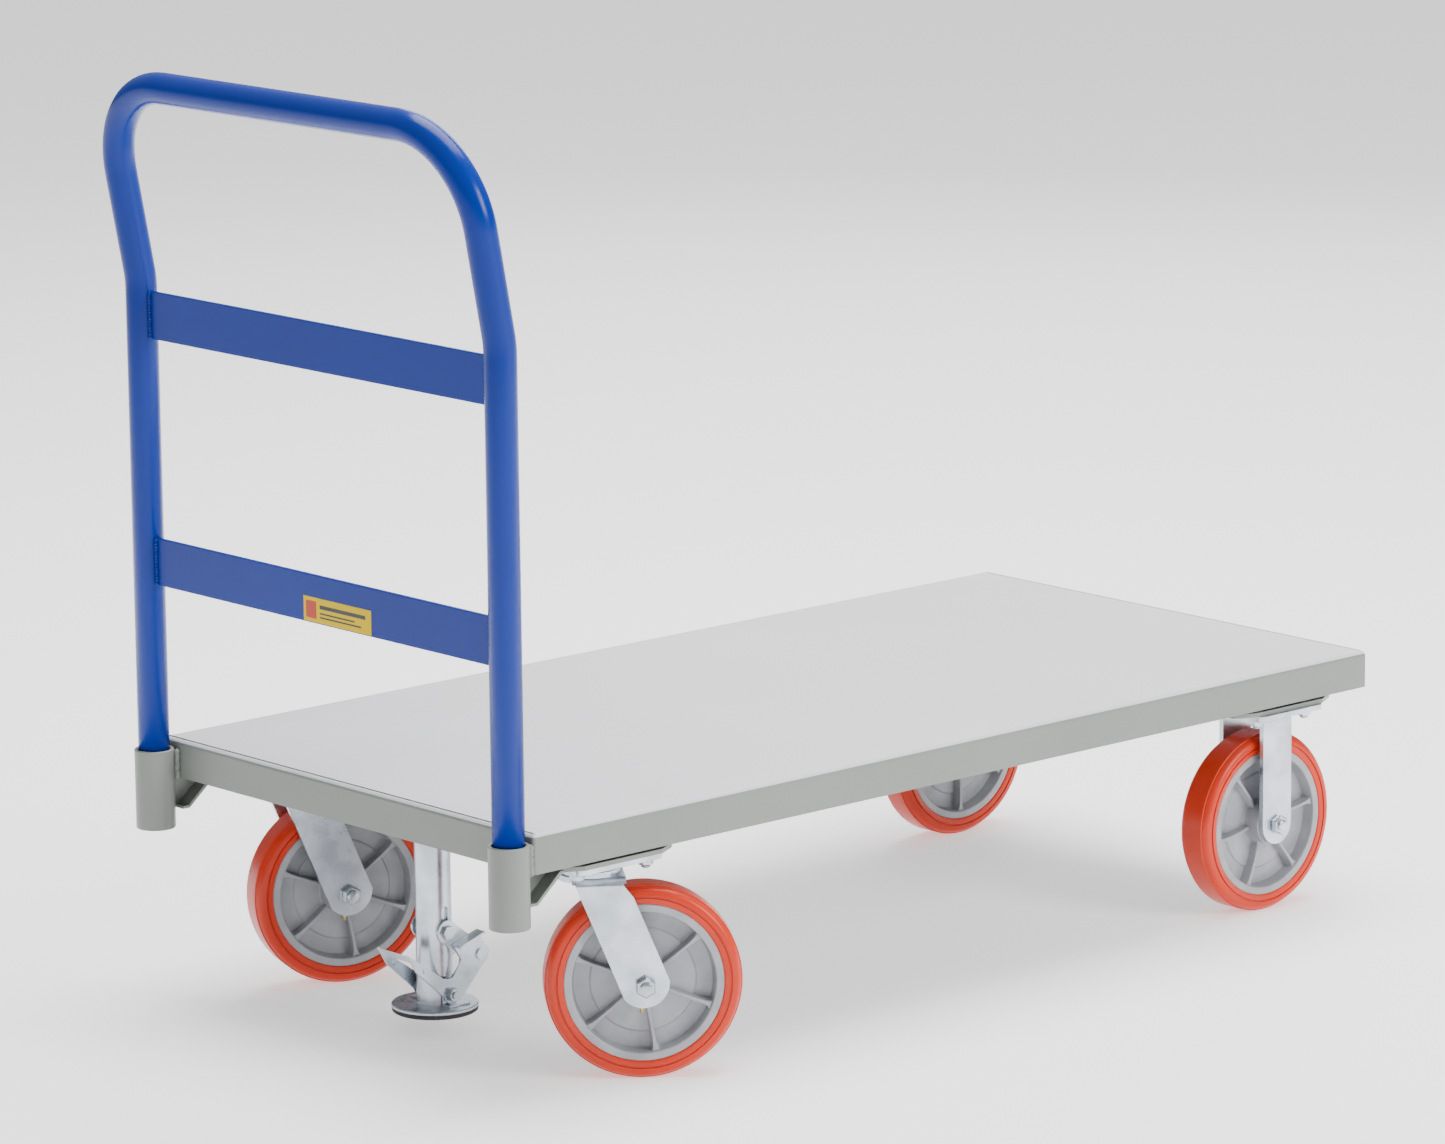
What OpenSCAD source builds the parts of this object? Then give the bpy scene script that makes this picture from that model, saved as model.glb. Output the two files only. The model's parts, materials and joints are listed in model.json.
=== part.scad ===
// Flatbed platform truck: steel deck on two swivel and two rigid casters,
// lift-out tube handle and a foot-operated floor lock.
// X runs along the deck from the handle end (-X) to the far end (+X), Y across, Z up.
// The origin is on the floor under the middle of the deck.

/* [Deck] */
// Length of the deck
deck_l = 1219.2; // [900:1:1600]
// Width of the deck
deck_w = 609.6; // [560:1:900]
// Height of the folded-down skirt
skirt_h = 41.3; // [34:0.1:60]
// Thickness of the deck sheet
sheet_t = 2.66; // [2:0.01:4]
// Outside radius of the folded edge
fold_r = 6.5; // [5:0.5:10]
// Radius of the ground corner welds
corner_r = 4; // [3.2:0.2:6]
// Height of a stiffener under the deck
stiffener_h = 30; // [20:1:32]
// Width of a stiffener
stiffener_w = 60; // [40:1:80]
// Distance of each stiffener from the centre line
stiffener_y = 105; // [60:1:140]

/* [Bolsters] */
// Width of a bolster along the truck
bolster_w = 152.4; // [140:0.1:190]
// Thickness of the bolster plate
bolster_t = 4.76; // [3:0.01:6.4]
// Gap between the skirt's lower edge and the bolster's web
bolster_gap = 4.74; // [3:0.01:8]
// Distance from a bolster's end to the outside of the skirt
bolster_inset = 7; // [5:0.5:12]
// Corner cut of the bolster's web, along the truck
bolster_cut_x = 24; // [10:1:40]
// Corner cut of the bolster's web, across the truck
bolster_cut_y = 13; // [8:1:20]

/* [Casters] */
// Height of a caster's mounting face above the wheel's top
head_h = 31.75; // [31.75:0.01:40]
// Thickness of a caster's top plate
plate_t = 6; // [5:0.1:8]
// Long side of a caster's top plate
plate_l = 114.3; // [110:0.1:130]
// Short side of a caster's top plate
plate_w = 101.6; // [98:0.1:110]
// Distance from the handle end of the deck to the king pins
swivel_inset = 125; // [110:1:160]
// Distance from the far end of the deck to the rigid axles
rigid_inset = 116.1; // [100:0.1:160]
// Distance from the side of the deck to the middle of a caster
caster_side = 60; // [58:0.5:80]
// Distance from the king pin to the wheel's axle
swivel_lead = 52.2; // [45:0.1:60]
// Long spacing of the swivel caster's bolts
swivel_bolt_x = 92.1; // [88:0.1:98]
// Short spacing of the swivel caster's bolts
swivel_bolt_y = 66.7; // [60:0.1:76]
// Spacing of the rigid caster's bolts both ways
rigid_bolt = 76.2; // [74:0.1:84]
// Space between the two legs of a fork
fork_gap = 56; // [56:0.5:64]
// Thickness of a fork's steel
fork_t = 6; // [5:0.1:7]
// Width of a fork leg
leg_w = 50; // [44:0.5:54]
// Width of a rigid fork's leg
rigid_leg_w = 45; // [40:0.5:54]
// Outside radius where a fork leg turns into its crown
fork_bend_r = 9; // [7:0.5:12]
// Lean of a swivel fork's legs
leg_lean = 22; // [18:0.5:25]
// Radius of the swivel fork's raceway boss
race_r = 31; // [30:0.5:34]
// Diameter of a king pin
king_d = 15.9; // [12:0.1:18]
// Diameter of a swivel bearing ball
ball_d = 7.9; // [7:0.1:8.4]
// Number of balls in one swivel bearing
ball_count = 16; // [12:1:18]

/* [Wheels] */
// Diameter over the tread
wheel_d = 203.2; // [180:0.1:250]
// Width of the wheel at its rim
rim_w = 40; // [36:0.5:44]
// Width of the tread's flat running face
crown_w = 26; // [20:0.5:32]
// Thickness of the tread
tread_t = 19.1; // [14:0.1:24]
// Thickness of the core's rim
rim_t = 9; // [6:0.5:12]
// Thickness of the core's web
web_t = 14; // [10:0.5:20]
// Diameter of the core's hub
hub_d = 48; // [42:0.5:54]
// Number of ribs on the core
rib_count = 6; // [5:1:8]
// Thickness of a rib
rib_t = 5; // [3:0.5:8]
// Diameter of the axle bolt
axle_d = 12.7; // [10:0.1:14]
// Diameter of the axle sleeve
sleeve_d = 19; // [17.5:0.1:20]
// Diameter of a bearing roller
roller_d = 4.8; // [4:0.1:5.5]
// Number of rollers in one wheel
roller_count = 9; // [6:1:12]

/* [Handle] */
// Outside diameter of the handle tube
tube_d = 33.4; // [26:0.1:34.5]
// Wall of the handle tube
tube_wall = 3.38; // [2:0.01:4]
// Height of the top rail's centre above the floor
rail_z = 993.8; // [930:0.1:1100]
// Height where the posts start to lean away from the deck
lean_z = 780.9; // [740:0.1:820]
// Angle of the leaning part
lean_a = 10.8; // [5:0.1:16]
// Centre-line radius of the lean bend
lean_r = 120; // [60:1:160]
// Centre-line radius of the top corners
corner_bend_r = 100; // [70:1:110]
// Height of a flat crossbar
bar_h = 50.8; // [38:0.1:64]
// Thickness of a flat crossbar
bar_t = 5; // [4:0.1:8]
// Height of the upper crossbar's lower edge
upper_bar_z = 719.5; // [640:0.1:722]
// Height of the lower crossbar's lower edge
lower_bar_z = 456.7; // [400:0.1:560]
// Length of the label on the lower crossbar
label_l = 110; // [60:1:160]
// Height of the label
label_h = 26; // [15:1:34]
// Distance of the label's middle from the centre line
label_y = -29; // [-120:1:120]

/* [Sockets] */
// Wall of a handle socket
socket_wall = 3.575; // [3.5:0.005:6]
// Radial gap between a post and its socket
post_fit = 0.825; // [0.7:0.005:1.5]
// Length of a handle socket
socket_l = 85.7; // [70:0.1:110]
// Depth of the socket's rim below the deck's top
socket_drop = 8.5; // [4:0.1:20]
// Distance of a post's centre from the side of the deck
post_inset = 13; // [8:0.5:40]
// Thickness of a socket's bottom
socket_floor = 3; // [2:0.5:5]
// Length of a gusset along the deck
gusset_l = 45; // [36:1:60]
// Thickness of a gusset's sheet
gusset_t = 3; // [2:0.1:4]
// Width of a gusset's flange
gusset_w = 20; // [14:1:26]

/* [Floor lock] */
// Distance from the handle end of the deck to the lock's axis
lock_inset = 118; // [112:1:150]
// Height of the raised pad above the floor
lock_clear = 22.5; // [20:0.5:24]
// Outside diameter of the lock's sliding sleeve
slide_d = 38.1; // [36:0.1:42]
// Wall of the sliding sleeve
slide_wall = 3.2; // [2.5:0.1:4]
// Running gap between the sleeve and its post
slide_fit = 0.08; // [0.03:0.01:0.1]
// Bore of the post
post_bore = 16; // [15:0.5:18]
// Diameter of the round foot
foot_d = 92; // [88:1:110]
// Thickness of the foot's steel plate
foot_t = 4; // [3:0.5:6]
// Thickness of the foot's rubber pad
pad_t = 4.5; // [3:0.5:8]
// Height of the pedal's pivot above the foot plate
pedal_up = 12.5; // [12:0.5:16]
// Distance of the pedal's pivot from the lock's axis
pedal_out = 2; // [0:0.5:6]
// Height of the link's upper pivot above the floor
link_z = 110; // [107:0.5:116]
// Horizontal reach from the pedal's pivot to the link's rivet
rivet_x = 40; // [38:0.5:42]
// Vertical reach from the pedal's pivot to the link's rivet
rivet_z = 36.5; // [35:0.5:39]
// Thickness of the link and of the foot's lugs
link_t = 2.5; // [2:0.1:3]
// Thickness of the pedal's side plates
pedal_t = 3; // [2.5:0.1:4]
// Diameter of the lock's pivots
pivot_d = 8; // [6:0.5:9]
// Width across the flats of the studs that carry the link
stud_af = 13; // [11:0.5:15]
// Radial gap in the link's hole at the rivet
rivet_slack = 0.9; // [0.8:0.1:1.2]
// Side of the lock's top plate
lock_plate = 100; // [96:1:110]
// Bolt spacing of the lock's top plate
lock_bolt = 76.2; // [70:0.1:82]

/* [Fasteners] */
// Diameter of a mounting bolt
bolt_d = 9.5; // [8:0.1:10]
// Width across the flats of a mounting bolt's head and nut
bolt_af = 14.3; // [13:0.1:16]
// Height of a mounting bolt's head
bolt_head_h = 6.4; // [5:0.1:8]
// Height of a mounting nut
nut_h = 8; // [6:0.1:9]
// Width across the flats of an axle bolt's head and nut
axle_af = 19; // [17:0.5:22]
// Height of an axle bolt's head and nut
axle_head_h = 8; // [6:0.5:11]

/* [Resting pose] */
// Swivel angle of the caster on the -Y side
swivel_a_right = -36; // [-180:1:180]
// Swivel angle of the caster on the +Y side
swivel_a_left = -19; // [-180:1:180]
// Turn of each wheel about its axle: right swivel, left swivel, right rigid, left rigid
wheel_turns = [-21, -21, 69, 30];

/* [Hidden] */
$fn = 64;

eps = 0.5;          // how far a cutter reaches past the face it cuts
seat = 0.05;        // gap between round faces that are pressed or welded together
pin_fit = 0.08;     // radial running gap of a pin or axle
rest_gap = 0.3;     // gap between pieces that only rest on each other
facets = 6;         // straight steps in a rounded fold

axle_z = wheel_d / 2;
caster_h = wheel_d + head_h;
skirt_z = caster_h + bolster_t + bolster_gap;
deck_z = skirt_z + skirt_h;
under_z = deck_z - sheet_t;
end_x = -deck_l / 2;
swivel_x = end_x + swivel_inset;
rigid_x = deck_l / 2 - rigid_inset;
caster_y = deck_w / 2 - caster_side;
bolster_l = deck_w - 2 * bolster_inset;

core_r = axle_z - tread_t;
rim_r = core_r - rim_t;
step_r = (rim_r + hub_d / 2) / 2 + 6;
hub_h = fork_gap / 2 - 0.6;
rib_h = rim_w / 2 - 3;
bore_r = sleeve_d / 2 + pin_fit + roller_d + 2 * pin_fit;
crown_z = wheel_d + 6.8;
crown_top = crown_z + fork_t;
race_top = crown_top + 5.2;
dome_z = race_top + 1.2;
ball_z = (race_top + dome_z) / 2;
ball_ring_r = race_r - 7;
fork_w = fork_gap + 2 * fork_t;

socket_bore = tube_d + 2 * post_fit;
socket_d = socket_bore + 2 * socket_wall;
post_x = end_x - socket_d / 2 - rest_gap;
post_y = deck_w / 2 - post_inset;
socket_top = deck_z - socket_drop;
socket_z = socket_top - socket_l;
tube_z = socket_z + socket_floor + rest_gap;
lean_start = lean_r * tan(lean_a / 2);
rail_u = (rail_z - lean_z) / cos(lean_a);
gusset_x = end_x + sheet_t + rest_gap;
gusset_y = post_y - 6;

lock_x = end_x + lock_inset;
pad_z = lock_clear;
foot_z = pad_z + pad_t;
foot_top = foot_z + foot_t;
lock_plate_z = caster_h - plate_t;
slide_bore = slide_d - 2 * slide_wall;
lock_post_d = slide_bore - 2 * slide_fit;
slide_top = lock_plate_z - 14;
post_foot = foot_top + 5;
lug_y = slide_d / 2 + 0.95;
pedal_y = lug_y + link_t + 0.5;
pedal_z = foot_top + pedal_up;
link_end = [pedal_out + rivet_x, pedal_z + rivet_z - link_z];
link_len = norm(link_end);
link_a = atan2(link_end[1], link_end[0]);
spring_top = slide_top - 16;
spring_r = 4.8;
spring_wire = 1.4;
spring_turns = 14;
spring_pitch = 5;
eye_top = foot_top + 19;

wheel_spots = [
  [swivel_x, -caster_y, swivel_a_right, swivel_lead],
  [swivel_x, caster_y, swivel_a_left, swivel_lead],
  [rigid_x, -caster_y, 0, 0],
  [rigid_x, caster_y, 0, 0]
];

zinc = "lightsteelblue";
gray_paint = "darkseagreen";
blue_paint = "royalblue";

// ---------- shared shapes ----------

// Points of an arc about c, from angle a to angle b
function arc(c, r, a, b, n) = [for (i = [0:n]) c + r * [cos(a + (b - a) * i / n), sin(a + (b - a) * i / n)]];

module both_sides() {
  children();
  mirror([0, 1, 0]) children();
}

module hex(af, h) {
  cylinder(d = af / cos(30), h = h, $fn = 6);
}

module ring(outer_d, inner_d, h) {
  difference() {
    cylinder(d = outer_d, h = h);
    translate([0, 0, -eps]) cylinder(d = inner_d, h = h + 2 * eps);
  }
}

// Side of a bent-down sheet: a wide rectangle with its two top corners rounded
module fold_section(span, r, top, bottom) {
  half = span / 2;
  polygon(concat(
    [[-half, bottom], [half, bottom]],
    arc([half - r, top - r], r, 0, 90, facets),
    arc([r - half, top - r], r, 90, 180, facets)
  ));
}

module rounded_rect(l, w, r) {
  polygon(concat(
    arc([l / 2 - r, w / 2 - r], r, 0, 90, facets),
    arc([r - l / 2, w / 2 - r], r, 90, 180, facets),
    arc([r - l / 2, r - w / 2], r, 180, 270, facets),
    arc([l / 2 - r, r - w / 2], r, 270, 360, facets)
  ));
}

// Four bolt positions about the middle of a plate
module bolt_grid(dx, dy) {
  for (sx = [-1, 1], sy = [-1, 1])
    translate([sx * dx / 2, sy * dy / 2, 0]) children();
}

// Every place where a mounting bolt goes through a bolster
module swivel_bolts() {
  both_sides() translate([swivel_x, caster_y, 0]) bolt_grid(swivel_bolt_x, swivel_bolt_y) children();
}

module rigid_bolts() {
  both_sides() translate([rigid_x, caster_y, 0]) bolt_grid(rigid_bolt, rigid_bolt) children();
}

module lock_bolts() {
  translate([lock_x, 0, 0]) bolt_grid(lock_bolt, lock_bolt) children();
}

module bolt_hole() {
  translate([0, 0, lock_plate_z - eps]) cylinder(d = bolt_d + 1, h = plate_t + bolster_t + 2 * eps);
}

// ---------- deck ----------

module pan_block(l, w, r, corner, top, bottom) {
  intersection() {
    rotate([90, 0, 0]) linear_extrude(w + 2 * eps, center = true) fold_section(l, r, top, bottom);
    rotate([90, 0, 90]) linear_extrude(l + 2 * eps, center = true) fold_section(w, r, top, bottom);
    translate([0, 0, bottom]) linear_extrude(top - bottom) rounded_rect(l, w, corner);
  }
}

module deck_pan() {
  color("gainsboro") difference() {
    pan_block(deck_l, deck_w, fold_r, corner_r, deck_z, skirt_z);
    pan_block(
      deck_l - 2 * sheet_t, deck_w - 2 * sheet_t, fold_r - sheet_t, corner_r - sheet_t, under_z, skirt_z - eps
    );
  }
}

// Two inverted channels welded under the sheet between the bolsters
module deck_stiffeners() {
  x_a = swivel_x + bolster_w / 2 + 4;
  x_b = rigid_x - bolster_w / 2 - 4;
  color(gray_paint) both_sides()
    translate([x_a, stiffener_y - stiffener_w / 2, under_z - stiffener_h]) difference() {
      cube([x_b - x_a, stiffener_w, stiffener_h]);
      translate([-eps, sheet_t, sheet_t]) cube([x_b - x_a + 2 * eps, stiffener_w - 2 * sheet_t, stiffener_h]);
    }
}

module bolster(x) {
  flange_l = bolster_l - 2 * bolster_cut_y;
  hx = bolster_w / 2;
  hy = bolster_l / 2;
  translate([x, 0, caster_h]) {
    linear_extrude(bolster_t) polygon([
      for (p = [[1, 1], [-1, 1], [-1, -1], [1, -1]], first = [0, 1])
        first == (p[0] == p[1] ? 0 : 1)
          ? [p[0] * hx, p[1] * (hy - bolster_cut_y)]
          : [p[0] * (hx - bolster_cut_x), p[1] * hy]
    ]);
    for (s = [-1, 1])
      translate([s * (hx - bolster_t / 2) - bolster_t / 2, -flange_l / 2, 0])
        cube([bolster_t, flange_l, under_z - caster_h]);
  }
}

module swivel_bolster() {
  color(gray_paint) difference() {
    bolster(swivel_x);
    gusset_space();
    swivel_bolts() bolt_hole();
    lock_bolts() bolt_hole();
  }
}

module rigid_bolster() {
  color(gray_paint) difference() {
    bolster(rigid_x);
    rigid_bolts() bolt_hole();
  }
}

// ---------- handle sockets ----------

module handle_sockets() {
  color(gray_paint) both_sides() translate([post_x, post_y, socket_z]) difference() {
    cylinder(d = socket_d, h = socket_l);
    translate([0, 0, socket_floor]) cylinder(d = socket_bore, h = socket_l);
    translate([0, 0, -eps]) cylinder(d = socket_bore / 3, h = socket_floor + 2 * eps);
  }
}

// A triangular web with a flange down its slope, from the socket to the underside of the deck
module gusset() {
  low = socket_z + 18;
  toe = 9;
  web_z = skirt_z - bolster_gap;
  far_x = gusset_x + gusset_l;
  slope = [[gusset_x, low], [gusset_x + toe, low], [far_x, web_z]];
  inner = [[gusset_x, low + gusset_t], [gusset_x + toe - 1, low + gusset_t], [far_x - 6, web_z]];
  fold_cut = [[far_x, under_z], [gusset_x + fold_r, under_z], [gusset_x, under_z - fold_r]];
  rotate([90, 0, 0]) {
    linear_extrude(gusset_w, center = true) polygon([slope[0], slope[1], slope[2], inner[2], inner[1], inner[0]]);
    translate([0, 0, -gusset_w / 2]) linear_extrude(gusset_t)
      polygon(concat(slope, fold_cut));
  }
}

// Room for the gussets, which notches the bolster where they are long enough to reach it
module gusset_space() {
  wide = gusset_w + 2 * rest_gap;
  for (s = [-1, 1])
    translate([gusset_x, s * gusset_y - wide / 2, caster_h - eps])
      cube([gusset_l + rest_gap, wide, deck_z - caster_h]);
}

module socket_gussets() {
  color(gray_paint) for (s = [-1, 1])
    translate([0, s * gusset_y, 0]) gusset();
}

// Beads down both sides of each socket, against the end skirt
module socket_welds() {
  bead = 7;
  color(gray_paint) both_sides() difference() {
    for (s = [-1, 1])
      translate([end_x - 2, post_y + s * 13.5, skirt_z + 2]) cylinder(d = bead, h = skirt_h - 2 * fold_r);
    translate([post_x, post_y, 0]) cylinder(d = socket_d + 2 * seat, h = deck_z);
    translate([end_x - seat, post_y - socket_d, 0]) cube([socket_d, 2 * socket_d, deck_z]);
  }
}

// ---------- handle ----------

// A bend of the handle's rod: slightly thinner than the straights and a little way inside both of them
module rod_bend(d, r, angle) {
  lap = 1.5 / r * 57.3;
  rotate([0, 0, -lap]) rotate_extrude(angle = angle + 2 * lap) translate([r, 0]) circle(d = d - 2 * seat);
}

// Solid rod along the handle's bent centre line
module handle_rod(d, low) {
  bend_z = lean_z - lean_start;
  rail_half = post_y - corner_bend_r;
  both_sides() {
    translate([post_x, post_y, low]) cylinder(d = d, h = bend_z - low);
    translate([post_x - lean_r, post_y, bend_z]) rotate([90, 0, 0]) rod_bend(d, lean_r, lean_a);
    translate([post_x, 0, lean_z]) rotate([0, -lean_a, 0]) {
      translate([0, post_y, lean_start]) cylinder(d = d, h = rail_u - corner_bend_r - lean_start);
      translate([0, rail_half, rail_u - corner_bend_r]) rotate([90, 0, 90]) rod_bend(d, corner_bend_r, 90);
    }
  }
  translate([post_x, 0, lean_z]) rotate([0, -lean_a, 0]) translate([0, rail_half, rail_u])
    rotate([90, 0, 0]) cylinder(d = d, h = 2 * rail_half);
}

module handle_tube() {
  color(blue_paint) difference() {
    handle_rod(tube_d, tube_z);
    handle_rod(tube_d - 2 * tube_wall, tube_z - eps);
  }
}

module post_space() {
  bend_z = lean_z - lean_start;
  both_sides() {
    translate([post_x, post_y, 0]) cylinder(d = tube_d + 2 * seat, h = bend_z + seat);
    translate([post_x - lean_r, post_y, bend_z]) rotate([90, 0, 0]) rod_bend(tube_d + 6 * seat, lean_r, lean_a);
  }
}

module crossbar(z) {
  color(blue_paint) difference() {
    translate([post_x - bar_t / 2, -post_y, z]) cube([bar_t, 2 * post_y, bar_h]);
    post_space();
  }
}

module upper_crossbar() {
  crossbar(upper_bar_z);
}

module lower_crossbar() {
  crossbar(lower_bar_z);
}

// Upright beads where the crossbars meet the posts, front and back
module crossbar_welds() {
  bead = 6;
  bead_y = post_y - tube_d / 2 - 0.5;
  color(blue_paint) difference() {
    both_sides() for (z = [upper_bar_z, lower_bar_z], s = [-1, 1])
      translate([post_x + s * (bar_t / 2 + 1), bead_y, z + 1]) cylinder(d = bead, h = bar_h - 2);
    post_space();
    translate([post_x - bar_t / 2 - seat, -post_y, lower_bar_z]) cube([bar_t + 2 * seat, 2 * post_y, lean_z]);
  }
}

module handle_label() {
  label_t = 0.4;
  color("gold") translate([post_x - bar_t / 2 - label_t, label_y - label_l / 2, lower_bar_z + 1.5])
    cube([label_t, label_l, label_h]);
}

// ---------- casters ----------

module caster_plate(l, w) {
  translate([0, 0, caster_h - plate_t]) linear_extrude(plate_t) rounded_rect(l, w, 8);
}

module ball_groove() {
  translate([0, 0, ball_z]) rotate_extrude() translate([ball_ring_r, 0]) circle(d = ball_d + 2 * rest_gap);
}

// Top plates of the swivel casters, each with a pressed dome that holds the upper raceway
module swivel_plates() {
  color(zinc) difference() {
    both_sides() translate([swivel_x, caster_y, 0]) difference() {
      union() {
        caster_plate(plate_l, plate_w);
        translate([0, 0, dome_z]) cylinder(r = race_r + 2, h = lock_plate_z - dome_z + eps);
      }
      translate([0, 0, dome_z - eps]) cylinder(d = king_d + 2 * seat, h = caster_h);
      translate([0, 0, caster_h - plate_t / 2]) cylinder(d = king_d * 1.5 + 2 * seat, h = plate_t);
      ball_groove();
    }
    swivel_bolts() bolt_hole();
  }
}

module swivel_balls() {
  color("silver") both_sides() translate([swivel_x, caster_y, ball_z]) for (i = [0:ball_count - 1])
    rotate([0, 0, i * 360 / ball_count]) translate([ball_ring_r, 0, 0]) sphere(d = ball_d, $fn = 24);
}

module king_pins() {
  low = crown_z - 12;
  color(zinc) both_sides() translate([swivel_x, caster_y, 0]) {
    translate([0, 0, low]) cylinder(d = king_d, h = caster_h - plate_t / 4 - low);
    translate([0, 0, caster_h - plate_t / 2 + seat]) cylinder(d = king_d * 1.5, h = plate_t / 2 - 2 * seat);
  }
}

module king_nuts() {
  king_nut_h = 9;
  color(zinc) both_sides() translate([swivel_x, caster_y, crown_z - rest_gap - king_nut_h]) difference() {
    hex(king_d * 1.5, king_nut_h);
    translate([0, 0, -eps]) cylinder(d = king_d + 2 * seat, h = king_nut_h + 2 * eps);
  }
}

// Cross-section of a fork: an inverted U with rounded shoulders
module fork_u(top) {
  difference() {
    fold_section(fork_w, fork_bend_r, top, 0);
    fold_section(fork_gap, fork_bend_r - fork_t, top - fork_t, -eps);
  }
}

// Side outline of a swivel fork, with the king pin at x = 0
module swivel_side() {
  rise = crown_z - axle_z;
  run = rise * tan(leg_lean);
  end_r = leg_w / 2 + 1.5;
  end_rise = 4;
  half = leg_w / 2 / cos(leg_lean);
  translate([swivel_lead, axle_z]) intersection() {
    polygon([
      [-run - half, rise + eps], [-run + half - 6, rise + eps], [half - run * 0.86, rise * 0.86],
      [half + 40 * tan(leg_lean), -40], [-half + 40 * tan(leg_lean), -40]
    ]);
    union() {
      translate([-end_rise * sin(leg_lean), end_rise * cos(leg_lean)]) circle(r = end_r);
      translate([-200, end_rise]) square([400, 200]);
    }
  }
  translate([-race_r - 3, crown_z]) square([2 * race_r + 3 + leg_w * 0.06, fork_t]);
}

// Plan of a swivel fork: a round crown that runs into the two legs
module swivel_plan() {
  circle(r = race_r + 3);
  translate([-leg_w * 0.42, -fork_w / 2]) square([swivel_lead + leg_w, fork_w]);
}

module swivel_fork() {
  difference() {
    union() {
      intersection() {
        rotate([90, 0, 90]) linear_extrude(500, center = true) fork_u(crown_top);
        rotate([90, 0, 0]) linear_extrude(fork_w + 2 * eps, center = true) swivel_side();
        linear_extrude(crown_top + eps) swivel_plan();
      }
      translate([0, 0, crown_top - eps]) cylinder(r = race_r, h = race_top - crown_top + eps);
    }
    translate([0, 0, crown_z - eps]) cylinder(d = king_d + 2 * pin_fit, h = caster_h);
    ball_groove();
    translate([swivel_lead, 0, axle_z]) rotate([90, 0, 0])
      cylinder(d = axle_d + 2 * seat, h = fork_w + 2 * eps, center = true);
  }
}

module rigid_fork() {
  difference() {
    union() {
      intersection() {
        rotate([90, 0, 90]) linear_extrude(rigid_leg_w, center = true) fork_u(lock_plate_z);
        rotate([90, 0, 0]) linear_extrude(fork_w + 2 * eps, center = true) union() {
          translate([0, axle_z]) circle(d = rigid_leg_w);
          translate([-rigid_leg_w / 2, axle_z]) square([rigid_leg_w, caster_h - axle_z]);
        }
      }
      caster_plate(plate_w, plate_l);
    }
    bolt_grid(rigid_bolt, rigid_bolt) bolt_hole();
    translate([0, 0, axle_z]) rotate([90, 0, 0])
      cylinder(d = axle_d + 2 * seat, h = fork_w + 2 * eps, center = true);
  }
}

// Places a child that is drawn about the king pin
module at_caster(i) {
  spot = wheel_spots[i];
  translate([spot[0], spot[1], 0]) rotate([0, 0, spot[2]]) children();
}

// Places a child that is drawn about the wheel's centre, with the axle along Y
module at_wheel(i) {
  at_caster(i) translate([wheel_spots[i][3], 0, axle_z]) children();
}

// Axle bolt and nut, with the head on the side given by dir
module axle_set(dir) {
  half = fork_w / 2;
  rotate([dir * 90, 0, 0]) {
    translate([0, 0, -half - axle_head_h - 3]) cylinder(d = axle_d, h = fork_w + axle_head_h + 3 + eps);
    translate([0, 0, half + seat]) hex(axle_af, axle_head_h);
    translate([0, 0, -half - seat - axle_head_h]) difference() {
      hex(axle_af, axle_head_h);
      translate([0, 0, -eps]) cylinder(d = axle_d + 2 * seat, h = axle_head_h + 2 * eps);
    }
  }
}

module axle_sleeve() {
  rotate([90, 0, 0]) translate([0, 0, rest_gap - fork_gap / 2])
    ring(sleeve_d, axle_d + 2 * seat, fork_gap - 2 * rest_gap);
}

// ---------- wheels ----------

// Half of the tread's profile, as radius and distance from the middle plane
function tread_side() = concat(
  [[core_r, rim_w / 2 - 0.6], [core_r + 2, rim_w / 2 + 0.2], [core_r + 8, rim_w / 2 + 1]],
  arc([axle_z - 9, crown_w / 2 - 0.6], 9, 58, 0, facets)
);

module tread() {
  side = tread_side();
  last = len(side) - 1;
  rotate([90, 0, 0]) difference() {
    rotate_extrude($fn = 128) polygon(concat(side, [for (i = [last:-1:0]) [side[i][0], -side[i][1]]]));
    cylinder(r = core_r + seat, h = 2 * rim_w, center = true, $fn = 128);
  }
}

module wheel_core(turn) {
  rotate([0, turn, 0]) rotate([90, 0, 0]) difference() {
    union() {
      cylinder(d = hub_d, h = 2 * hub_h, center = true);
      cylinder(r = core_r - 1, h = web_t - 4, center = true, $fn = 128);
      cylinder(r = step_r, h = web_t, center = true);
      difference() {
        cylinder(r = core_r, h = rim_w, center = true, $fn = 128);
        cylinder(r = rim_r, h = rim_w + 2 * eps, center = true, $fn = 128);
      }
      for (i = [0:rib_count - 1])
        rotate([0, 0, i * 360 / rib_count]) translate([0, -rib_t / 2, -rib_h])
          cube([rim_r + rim_t / 2, rib_t, 2 * rib_h]);
    }
    cylinder(r = bore_r, h = 2 * hub_h + 2 * eps, center = true);
    fitting_spot() cylinder(d = 4 + 2 * seat, h = hub_d, center = true);
  }
}

// Radial hole for the grease fitting, between two ribs near the wheel's outer side
module fitting_spot() {
  rotate([0, 0, 105]) translate([hub_d / 2, 0, hub_h - 6]) rotate([0, 90, 0]) children();
}

module grease_fitting(turn) {
  rotate([0, turn, 0]) rotate([90, 0, 0]) fitting_spot() {
    translate([0, 0, -4]) cylinder(d = 4, h = 5);
    translate([0, 0, 0.3]) hex(5.5, 2.5);
    translate([0, 0, 2.5]) cylinder(d = 3.2, h = 3);
    translate([0, 0, 6]) sphere(d = 4, $fn = 24);
  }
}

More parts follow.
